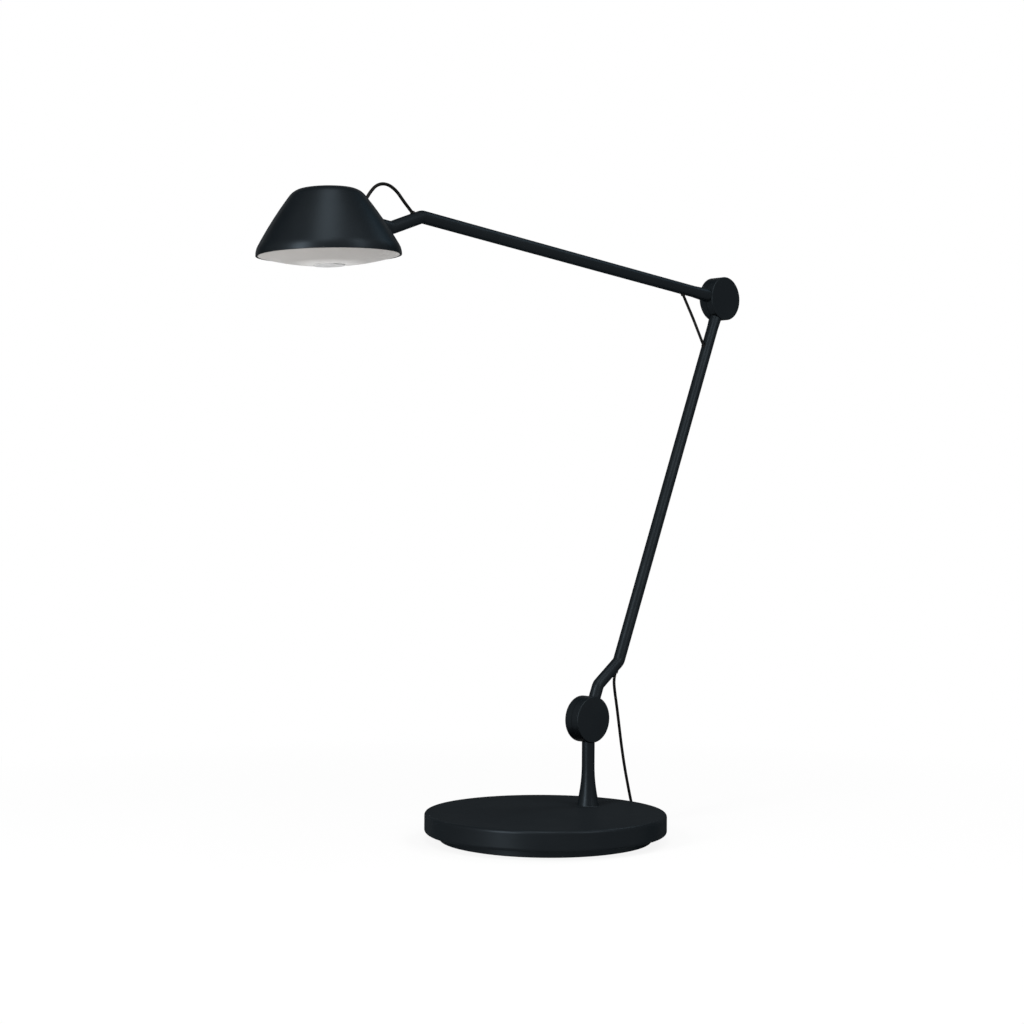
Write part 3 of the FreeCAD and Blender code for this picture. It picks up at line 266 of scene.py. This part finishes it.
# The diffuser is opal, paler in the middle round the button; its darker tone towards the edge is painted
# shade, standing in for the shadow of the lamp's shell near its lip
opal = {
    # painted shade: the edge's darker tone
    "rim": (0.328, 0.315, 0.302),
    "middle": (0.63, 0.62, 0.61),
    "centre": (-0.24307, 0.0, 0.48247),
    "radius": 0.0552,
    "fade": [(0.25, 0), (0.55, 1)],  # painted shade: from the middle's tone to the darker edge tone, as shares of the radius
    "gloss": (0.36, 0.44),
    "glossPatches": 130.0,
    "bumps": 1300.0,
    "depth": 0.000006,
    "shine": 0.2,
}


def opalPlastic(facts):
    finish = Finish("opal_diffuser", {"Specular IOR Level": facts["shine"]})
    sockets = {0: finish.place(), 1: facts["centre"]}
    away = finish.length(finish.add("ShaderNodeVectorMath", {"operation": "SUBTRACT"}, sockets))
    # painted shade: the colour darkens from the middle towards the edge
    share = finish.ramp(away / facts["radius"], facts["fade"])
    finish.set("Base Color", finish.mix(share, facts["middle"], facts["rim"]))
    finish.gloss(facts["gloss"], facts["glossPatches"])
    finish.bumps(facts["bumps"], facts["depth"])
    return finish.material


finishes["opal"] = opalPlastic(opal)

nodesByFinish = {
    "baseCoat": ["base_disc", "foot_plate"],
    "coat": ["post", "lower_arm_cranked_end", "lower_arm_tube", "lower_arm_elbow_end", "upper_arm_elbow_end",
             "upper_arm_tube", "upper_arm_cranked_end", "shade", "lower_joint_cap", "elbow_cap"],
    "rubber": ["foot_pad", "lower_arm_cord_bushes", "upper_arm_cord_bushes", "head_cord_bush"],
    "cord": ["cord_in_lower_arm", "cord_in_upper_arm", "cord_in_head"],
    "plastic": ["driver_tray", "driver_cover", "driver_strain_relief"],
    "steel": ["foot_plate_screws", "post_washer", "post_bolt", "lower_joint_pivot_bolt",
              "lower_joint_spring_washers", "elbow_pivot_bolt", "elbow_spring_washers", "stud_screw",
              "clevis_screws", "hinge_washers", "head_hinge_pin", "head_hinge_nut", "driver_pins"],
    "aluminium": ["shade_stud", "head_clevis", "head_plate"],
    "washer": ["lower_joint_friction_washer", "elbow_friction_washer"],
    "board": ["light_board"],
    "chip": ["light_chips"],
    "terminal": ["cord_terminal"],
    "dark": ["dimmer_switch"],
    "circuit": ["driver_board"],
    "button": ["dimmer_button"],
    "opal": ["diffuser"],
}
for finishName, nodeNames in nodesByFinish.items():
    for nodeName in nodeNames:
        slots = nodes[nodeName].data.materials
        slots.clear()
        slots.append(finishes[finishName])
print("finishes on", sum(len(nodeNames) for nodeNames in nodesByFinish.values()), "nodes")


# Every made piece is a mesh in place, its object at the origin
def linkPiece(name, mesh, material):
    piece = bpy.data.objects.new(name, mesh)
    bpy.context.scene.collection.objects.link(piece)
    mesh.materials.clear()
    mesh.materials.append(material)
    return piece


def rideOn(body, slot, *pieces):
    for piece in pieces:
        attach(piece, body)


# How the small pieces are cleaned and rounded
meshLimits = {
    "merge": 1e-6,  # points nearer than this become one
    "speck": 1e-7,  # and an edge shorter than this goes
    "crease": 40.0,  # degrees, a sharper edge isn't smoothed
}
roundSides = 32
roundSteps = 6
quarter = [math.pi / 2 * i / roundSteps for i in range(roundSteps + 1)]  # angles round a soft edge


# A turned piece's outline is (along X, radius). It starts and ends at radius 0, or is closed as a ring
def turnedMesh(name, outline, sides=roundSides, ring=False):
    work = bmesh.new()
    angles = [2 * math.pi * i / sides for i in range(sides)]
    rings = []
    for along, radius in outline:
        rings.append([work.verts.new((along, radius * math.cos(a), radius * math.sin(a))) for a in angles])
    coverRings(work, rings + rings[:1] if ring else rings)
    return closedMesh(name, work)


def coverRings(work, rings):
    for near, far in zip(rings, rings[1:]):
        for i in range(len(near)):
            j = (i + 1) % len(near)
            work.faces.new((near[i], near[j], far[j], far[i]))


def closedMesh(name, work):
    bmesh.ops.remove_doubles(work, verts=work.verts, dist=meshLimits["merge"])
    bmesh.ops.dissolve_degenerate(work, edges=work.edges, dist=meshLimits["speck"])
    bmesh.ops.recalc_face_normals(work, faces=work.faces)
    for face in work.faces:
        face.smooth = True
    for edge in work.edges:
        edge.smooth = edge.is_manifold and edge.calc_face_angle() < math.radians(meshLimits["crease"])
    mesh = bpy.data.meshes.new(name)
    work.to_mesh(mesh)
    work.free()
    return mesh


# An even row of one part: count, step between neighbours, and size of the last against the first
def rowTree():
    tree = bpy.data.node_groups.new("even_row", "GeometryNodeTree")
    kinds = {"Part": "Geometry", "Count": "Int", "Step": "Vector", "Last Size": "Float", "Finish": "Material"}
    for label, kind in kinds.items():
        tree.interface.new_socket(label, in_out="INPUT", socket_type="NodeSocket" + kind)
    tree.interface.new_socket("Row", in_out="OUTPUT", socket_type="NodeSocketGeometry")
    wiring = Wiring(tree)
    inputs = wiring.add("NodeGroupInput").socket.node
    part, count, step, last, finish = [Signal(wiring, inputs.outputs[label]) for label in kinds]
    places = wiring.add("GeometryNodeMeshLine", {"mode": "OFFSET"}, {"Count": count, "Offset": step})
    share = wiring.add("GeometryNodeInputIndex") / wiring.maths("MAXIMUM", count - 1, 1)
    size = wiring.add("ShaderNodeCombineXYZ", {}, {name: 1 + (last - 1) * share for name in "XYZ"})
    sockets = {"Points": places, "Instance": part, "Scale": size}
    parts = wiring.add("GeometryNodeInstanceOnPoints", {}, sockets)
    whole = wiring.add("GeometryNodeRealizeInstances", {}, {0: parts})
    painted = wiring.add("GeometryNodeSetMaterial", {}, {"Geometry": whole, "Material": finish})
    wiring.add("NodeGroupOutput", {}, {0: painted})
    return tree


evenRow = rowTree()


def makeRow(name, mesh, material, place, sizes):
    source = linkPiece(name + "_one", mesh, material)
    modifier = source.modifiers.new("row", "NODES")
    modifier.node_group = evenRow
    given = {"Finish": material, **sizes}
    for item in evenRow.interface.items_tree:
        if item.name in given:
            modifier[item.identifier] = given[item.name]
    ready = source.evaluated_get(bpy.context.evaluated_depsgraph_get())
    row = bpy.data.meshes.new_from_object(ready)
    bpy.data.objects.remove(source)
    row.name = name
    row.transform(place)
    return linkPiece(name, row, material)


# The driver's own frame starts in the middle of the end that the cord enters, with +X along the driver
driver = {
    "end": (0.0922, 0.1014, 0.00725),
    "turn": 136.0,  # degrees
    "length": 0.046,  # from that end to the face with the pins
}


def driverFrame(along, aside=0.0):
    turn = Matrix.Rotation(math.radians(driver["turn"]), 4, "Z")
    return Matrix.Translation(driver["end"]) @ turn @ Matrix.Translation((along, aside, 0))


# The relief is a soft tapered sleeve with ribs that grow towards the driver
relief = {
    "length": 0.014,
    "narrow": 0.0016,  # radius of the ribs at the cord's end
    "wide": 0.0031,  # and at the driver
    "core": 0.86,  # the sleeve's radius against the ribs'
    "softFrom": 0.96,  # where the thin end starts to round off, against the length
    "softTo": 0.93,  # and its radius at the end, against the sleeve's
    "ribs": 8,
    "ribWidth": 0.0011,
    "ribTop": 0.6,  # a rib's flat top against its width
    "ribEdge": 0.95,  # a rib's radius at its edges against its top
    "ribFoot": 0.9,  # radius of a rib's hidden foot against the sleeve's
}


def makeRelief(facts):
    length, narrow, wide = facts["length"], facts["narrow"], facts["wide"]
    thin, thick = narrow * facts["core"], wide * facts["core"]
    outline = [(0, 0), (0, thick), (-length * facts["softFrom"], thin), (-length, thin * facts["softTo"]),
               (-length, 0)]
    sleeve = turnedMesh("relief_sleeve", outline)
    sleeve.transform(driverFrame(0))
    half = facts["ribWidth"] / 2
    top, edge, foot = half * facts["ribTop"], wide * facts["ribEdge"], thick * facts["ribFoot"]
    outline = [(-half, foot), (-half, edge), (-top, wide), (top, wide), (half, edge), (half, foot)]
    rib = turnedMesh("relief_rib", outline, ring=True)
    step = -(length - 2 * facts["ribWidth"]) / (facts["ribs"] - 1)
    sizes = {"Count": facts["ribs"], "Step": (step, 0.0, 0.0), "Last Size": narrow / wide}
    ribs = makeRow("relief_ribs", rib, finishes["plastic"], driverFrame(-facts["ribWidth"]), sizes)
    return [linkPiece("relief_sleeve", sleeve, finishes["plastic"]), ribs]


# Round-nosed plug pins, each with a thin black sleeve near the driver
plugPin = {
    "count": 2,
    "radius": 0.002,
    "length": 0.0185,
    "spacing": 0.019,
    "sleeve": 0.010,  # its length
    "sleeveSkin": 0.00012,
    "sleeveEdge": 0.0002,  # length of the slope at its end
    "sleeveBore": 0.8,  # radius of its hidden inside against the pin's
}


def makePins(facts):
    radius, length = facts["radius"], facts["length"]
    nose = [(length - radius * (1 - math.sin(a)), radius * math.cos(a)) for a in quarter]
    pin = turnedMesh("pin", [(0, 0), (0, radius), *nose])
    end, skin, bore = facts["sleeve"], radius + facts["sleeveSkin"], radius * facts["sleeveBore"]
    outline = [(0, bore), (0, skin), (end - facts["sleeveEdge"], skin), (end, radius), (end, bore)]
    sleeve = turnedMesh("pin_sleeve", outline, ring=True)
    place = driverFrame(driver["length"], -facts["spacing"] / 2)
    sizes = {"Count": facts["count"], "Step": (0.0, facts["spacing"], 0.0), "Last Size": 1.0}
    pins = makeRow("plug_pins", pin, finishes["steel"], place, sizes)
    return pins, makeRow("pin_sleeves", sleeve, finishes["plastic"], place, sizes)


reliefPieces = makeRelief(relief)
plugPins, pinSleeves = makePins(plugPin)
rideOn("base", "black_plastic", *reliefPieces, pinSleeves)
rideOn("base", "bare_steel", plugPins)
for piece in reliefPieces:
    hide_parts("driver_strain_relief")
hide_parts("driver_pins")
print("plug and relief made")

# Cords: each follows one smooth line that rounds off its route's points
cordFacts = {
    "diameter": 0.0027,
    "sides": 20,
    "order": 3,  # of the smooth line
    "smooth": 10,  # points of the line for each point of the route
}
loopRoute = [
    (-0.157582, 0, 0.526120), (-0.166357, 0, 0.533554), (-0.1745, 0, 0.5419), (-0.1845, 0, 0.5462),
    (-0.1945, 0, 0.5444), (-0.2015, 0, 0.5378), (-0.206703, 0, 0.529977), (-0.211445, 0, 0.526139),
]
elbowRoute = [
    (0.177046, 0, 0.488060), (0.180340, 0, 0.483045), (0.192104, 0, 0.466226), (0.202866, 0, 0.448748),
    (0.206160, 0, 0.443733),
]
hangingRoute = [
    (0.087631, 0, 0.140624), (0.085423, 0, 0.135261), (0.0869, 0, 0.1240), (0.0894, 0, 0.1125),
    (0.0926, 0, 0.0950), (0.0960, 0, 0.0760), (0.1003, 0, 0.0560), (0.1060, 0, 0.0350),
]
lyingRoute = [
    (0.1116, 0.0002, 0.0170), (0.1185, 0.0020, 0.0048), (0.1280, 0.0070, 0.0014), (0.1385, 0.0180, 0.0014),
    (0.1448, 0.0310, 0.0014), (0.1460, 0.0430, 0.0014),
]
driverRoute = [
    (0.1290, 0.0810, 0.0120), (0.1196, 0.0824, 0.0099), (0.110183, 0.084034, 0.00725),
    (0.102271, 0.091675, 0.00725),
]

# The coil winds inwards and outwards by turns, one flat layer on another
coil = {
    "centre": (0.1229, 0.0546),
    "outer": 0.0231,  # radius of the outermost turn
    "turns": 3.907,  # in each layer
    "climb": 0.5,  # turns that it takes up to the next layer
    "layers": 4,
    "pitch": 0.00365,  # between turns, and between layers
    "lift": 0.0014,  # height of the lowest turns' middle
    "steps": 16,  # points of the route for each turn
}


def coilPoint(facts, turn):
    layerTurns = facts["turns"] + facts["climb"]
    layer = min(int(turn / layerTurns), facts["layers"] - 1)
    done = turn - layer * layerTurns
    travel = min(done, facts["turns"]) * facts["pitch"]
    inner = facts["outer"] - facts["turns"] * facts["pitch"]
    radius = inner + travel if layer % 2 else facts["outer"] - travel
    climbed = max(0.0, done - facts["turns"]) / facts["climb"]
    height = facts["lift"] + facts["pitch"] * (layer + (1 - math.cos(math.pi * climbed)) / 2)
    angle = 2 * math.pi * turn
    x, y = facts["centre"]
    return (x + radius * math.cos(angle), y + radius * math.sin(angle), height)


def coilRoute(facts):
    turns = facts["layers"] * (facts["turns"] + facts["climb"]) - facts["climb"]
    steps = round(turns * facts["steps"])
    return [coilPoint(facts, turns * i / steps) for i in range(steps + 1)]


# Rubber band round the coil: a flat strip that goes once round the turns and laps over itself
tie = {
    "angle": 150.0,  # degrees round the coil
    "inner": 0.0083,  # from the coil's middle to the middle of the inner corner turns
    "reach": 0.00165,  # from the middle of a corner turn to the middle of the strip
    "thickness": 0.0005,
    "width": 0.006,
    "flat": 0.96,  # the strip's flat faces against its width
    "bends": 5,  # points of the strip round each corner
    "lap": 9,  # points of the strip that lie on its own start
    "lapRise": 2,  # points over which it rises there
    "lapLift": 1.05,  # and by how many thicknesses
}


# The strip's middle line, as distance from the coil's middle and height
def tiePath(facts):
    low, top = coil["lift"], coil["lift"] + coil["pitch"] * (coil["layers"] - 1)
    outer, inner = coil["outer"], facts["inner"]
    corners = [(outer, low), (outer, top), (inner, top), (inner, low)]
    bends = facts["bends"]
    steps = [(corner, i / (bends - 1)) for corner in (1, 2, 3, 0) for i in range(bends)]
    path = []
    for count, (corner, share) in enumerate(steps + steps[:facts["lap"]]):
        angle = math.pi / 2 * (corner - 1 + share)
        risen = min(1.0, max(0, count - len(steps)) / facts["lapRise"])
        reach = facts["reach"] + facts["thickness"] * facts["lapLift"] * risen
        radius, height = corners[corner]
        height = max(height + reach * math.sin(angle), facts["thickness"] / 2)
        path.append((radius + reach * math.cos(angle), height))
    return path


def makeTie(facts):
    path = tiePath(facts)
    half, wide = facts["thickness"] / 2, facts["width"] / 2
    flat = wide * facts["flat"]
    section = [(-half, -flat), (-half, flat), (0, wide), (half, flat), (half, -flat), (0, -wide)]
    turn = math.radians(facts["angle"])
    outwards = Vector((math.cos(turn), math.sin(turn), 0))
    aside = Vector((-math.sin(turn), math.cos(turn), 0))
    middle = Vector((*coil["centre"], 0))
    work = bmesh.new()
    rings = []
    for i, (radius, height) in enumerate(path):
        before, after = path[max(i - 1, 0)], path[min(i + 1, len(path) - 1)]
        run = Vector((after[0] - before[0], after[1] - before[1])).normalized()
        ring = []
        for off, side in section:
            up = Vector((0, 0, height - off * run.x))
            ring.append(work.verts.new(middle + outwards * (radius + off * run.y) + aside * side + up))
        rings.append(ring)
    coverRings(work, rings)
    work.faces.new(rings[0])
    work.faces.new(rings[-1])
    return linkPiece("coil_tie", closedMesh("coil_tie", work), finishes["rubber"])


coilTie = makeTie(tie)
rideOn("base", "black_rubber", coilTie)

# Soft cove where the post's foot meets the base
cove = {
    "centre": (0.05305, 0.0),
    "level": 0.0247,  # height of the base's top
    "foot": 0.01015,  # the foot's radius
    "radius": 0.0014,
    "inFoot": 0.0004,  # how far the cove goes into the foot
    "inBase": 0.00005,  # and into the base
    "sides": 96,
}


def makeCove(facts):
    radius, foot = facts["radius"], facts["foot"]
    arc = [(radius * (1 - math.sin(a)), foot + radius * (1 - math.cos(a))) for a in quarter]
    hidden, below = foot - facts["inFoot"], -facts["inBase"]
    outline = [*arc, (below, foot + radius), (below, hidden), (radius, hidden)]
    ring = turnedMesh("post_foot_cove", outline, facts["sides"], ring=True)
    upright = Matrix.Rotation(-math.pi / 2, 4, "Y")
    ring.transform(Matrix.Translation((*facts["centre"], facts["level"])) @ upright)
    return linkPiece("post_foot_cove", ring, finishes["baseCoat"])


rideOn("base", "black_coated_steel", makeCove(cove))
print("tie and cove made")


# A curve with depth 0 is a bare line
def splineMesh(name, route, depth):
    data = bpy.data.curves.new(name, "CURVE")
    data.dimensions = "3D"
    spline = data.splines.new("NURBS")
    spline.points.add(len(route) - 1)
    for point, place in zip(spline.points, route):
        point.co = (*place, 1)
    spline.order_u = cordFacts["order"]
    spline.use_endpoint_u = True
    spline.resolution_u = cordFacts["smooth"]
    data.bevel_depth = depth
    data.bevel_resolution = cordFacts["sides"] // 4 - 1  # Blender adds so many points to each quarter
    data.use_fill_caps = depth > 0
    mesh = bpy.data.meshes.new_from_object(bpy.data.objects.new(name, data))
    bpy.data.curves.remove(data)
    mesh.name = name
    return mesh


def splineLine(name, route):
    bare = splineMesh(name + "_line", route, 0)
    line = [tuple(vertex.co) for vertex in bare.vertices]
    bpy.data.meshes.remove(bare)
    return line


def makeCord(name, route, replaced, bodies, crossing, **facts):
    line = splineLine(name, route)
    mesh = splineMesh(name, route, cordFacts["diameter"] / 2)
    cord = linkPiece(name, mesh, finishes["cord"])
    for face in mesh.polygons:
        face.use_smooth = True
    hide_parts(*replaced)
    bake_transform(cord)


driverNodes = ["driver_tray", "driver_cover", "driver_board"]
makeCord("loop_cord", loopRoute, ["cord_head_loop"], ("upper_arm", "head"),
         (loopRoute[0], loopRoute[-1]), far_end="object", lay="loose")
makeCord("elbow_cord", elbowRoute, ["cord_elbow"], ("upper_arm", "lower_arm"),
         (elbowRoute[0], elbowRoute[-1]), far_end="object", lay="taut")
tableRoute = hangingRoute + lyingRoute + coilRoute(coil) + driverRoute
makeCord("table_cord", tableRoute, ["cord_to_table", "cord_coil", "cord_to_driver"], ("base", "lower_arm"),
         (lyingRoute[0], hangingRoute[0]), far_end="plug", lay="coiled",
         with_pieces=[nodes[name] for name in driverNodes] + reliefPieces + [coilTie])
print("cords laid")

# Stage: a pale floor that shows white, with a faint shadow near the lamp, and soft light
stage = {
    "reach": 6.0,
    "gap": 0.0002,  # the lamp's pad stands a hair above the floor, which is clear from below
    "floor": (0.86, 0.86, 0.86),
    "floorRoughness": 0.9,
    "shadow": 0.12,  # share of the lit floor that the camera sees under the lamp
    "shadowReach": 0.8,
    "shadowFull": 0.3,  # where the shadow starts to fade, against its reach
    "sky": 0.17,  # the room's own light
    "aim": (-0.02, 0, 0.28),  # what the softboxes face
}
softboxes = {  # azimuth and height in degrees, azimuth 0 is in front, at -Y
    "top_softbox": dict(azimuth=-56, height=66, distance=1.6, width=0.6, tall=1.5, radiance=4.9),
    "left_softbox": dict(azimuth=-84, height=12, distance=1.6, width=0.34, tall=1.3, radiance=19.0),
    "right_softbox": dict(azimuth=4, height=34, distance=1.7, width=0.45, tall=1.3, radiance=6.0),
    "back_softbox": dict(azimuth=77, height=46, distance=1.6, width=0.6, tall=0.6, radiance=6.5),
}
white = (1, 1, 1, 1)


# 1 where the camera, a glossy or a clear surface looks straight at it
def seenDirectly(wiring):
    rays = wiring.add("ShaderNodeLightPath").socket.node
    labels = ("Is Camera Ray", "Is Glossy Ray", "Is Transmission Ray")
    camera, glossy, clear = [Signal(wiring, rays.outputs[label]) for label in labels]
    return wiring.maths("MAXIMUM", camera, wiring.maths("MAXIMUM", glossy, clear))


def floorFinish(facts):
    finish = Finish("pale_floor", {"Roughness": facts["floorRoughness"], "Specular IOR Level": 0.0})
    finish.set("Base Color", (*facts["floor"], 1))
    away = finish.length(finish.place()) / facts["shadowReach"]
    shadow = finish.ramp(away, [(facts["shadowFull"], facts["shadow"]), (1.0, 0)])
    share = seenDirectly(finish) * (1 - shadow)
    lit = Signal(finish, finish.surface.outputs[0])
    shown = finish.add("ShaderNodeEmission", {}, {"Color": white})
    above = finish.add("ShaderNodeMixShader", {}, {0: share, 1: lit, 2: shown})
    below = finish.add("ShaderNodeNewGeometry", {}, {}, "Backfacing")
    clear = finish.add("ShaderNodeBsdfTransparent")
    both = finish.add("ShaderNodeMixShader", {}, {0: below, 1: above, 2: clear})
    finish.give(finish.output.inputs[0], both)
    return finish.material


def makeFloor(facts):
    reach, level = facts["reach"], -facts["gap"]
    signs = [(-1, -1), (1, -1), (1, 1), (-1, 1)]
    mesh = bpy.data.meshes.new("floor")
    mesh.from_pydata([(x * reach, y * reach, level) for x, y in signs], [], [(0, 1, 2, 3)])
    linkPiece("floor", mesh, floorFinish(facts))


def makeSky(facts):
    world = bpy.data.worlds.new("studio")
    bpy.context.scene.world = world
    world.use_nodes = True
    sky = Wiring(world.node_tree)
    shown = sky.add("ShaderNodeBackground", {}, {"Color": white})
    room = sky.add("ShaderNodeBackground", {}, {"Color": white, "Strength": facts["sky"]})
    both = sky.add("ShaderNodeMixShader", {}, {0: seenDirectly(sky), 1: room, 2: shown})
    sky.add("ShaderNodeOutputWorld", {}, {0: both})


def makeLight(name, azimuth, height, distance, width, tall, radiance):
    turn, rise = math.radians(azimuth), math.radians(height)
    aside = Vector((math.sin(turn), -math.cos(turn), 0)) * math.cos(rise)
    away = aside + Vector((0, 0, math.sin(rise)))
    data = bpy.data.lights.new(name, "AREA")
    data.shape = "RECTANGLE"
    data.size = width
    data.size_y = tall
    data.energy = radiance * math.pi * width * tall
    light = bpy.data.objects.new(name, data)
    facing = away.to_track_quat("Z", "Y").to_matrix().to_4x4()
    light.matrix_world = Matrix.Translation(Vector(stage["aim"]) + away * distance) @ facing
    light.visible_camera = False
    bpy.context.scene.collection.objects.link(light)


makeFloor(stage)
makeSky(stage)
for name, facts in softboxes.items():
    makeLight(name, **facts)
print("stage lit")
